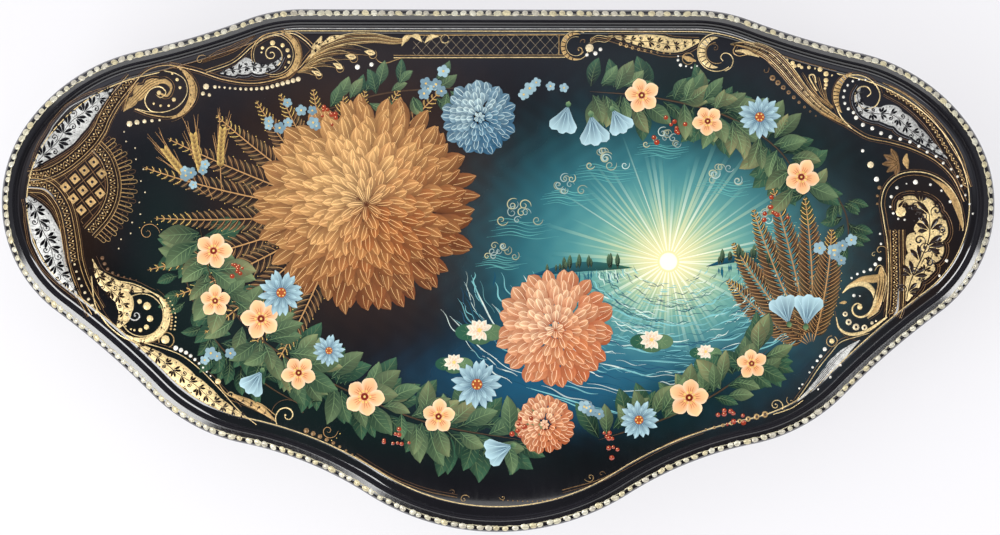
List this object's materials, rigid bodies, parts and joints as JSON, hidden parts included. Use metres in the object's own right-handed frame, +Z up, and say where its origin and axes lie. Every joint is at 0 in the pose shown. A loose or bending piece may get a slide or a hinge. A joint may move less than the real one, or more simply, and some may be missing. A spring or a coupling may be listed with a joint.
{
  "type": "russian lacquer box",
  "caption": "Low keepsake box with a shaped, bellied outline and a moulded, crowned lid that opens on a concealed barrel hinge at its straight back.",
  "frame": {"origin": "centre of the bounding box in plan, at the underside that rests on the table", "axes": "+X along the straight back, to the right as seen from the front; +Y from the bellied front to the hinge at the back; +Z up"},
  "size_m": [0.2612, 0.1374, 0.0584],
  "materials": {
    "black_lacquer": "gloss",
    "painted_lacquer": "gloss",
    "red_lacquer": "gloss",
    "steel_pin": "satin"
  },
  "bodies": {
    "box": {"base_moulding": "black_lacquer", "bottom_board": "red_lacquer", "body_wall": "black_lacquer", "wall_lining": "red_lacquer", "hinge_knuckle_wall_left": "black_lacquer", "hinge_knuckle_wall_middle": "black_lacquer", "hinge_knuckle_wall_right": "black_lacquer", "hinge_pin": "steel_pin", "hinge_plug_left": "black_lacquer", "hinge_plug_right": "black_lacquer"},
    "lid": {"lid_skirt": "black_lacquer", "lid_rim": "black_lacquer", "lid_panel": "painted_lacquer", "hinge_knuckle_lid_left": "black_lacquer", "hinge_knuckle_lid_right": "black_lacquer"}
  },
  "joints": [
    {"name": "lid_hinge", "type": "hinge", "parent": "box", "child": "lid", "pos_m": [0, 0.06552, 0.044], "axis": [-1, 0, 0], "range_deg": [0, 100]}
  ]
}
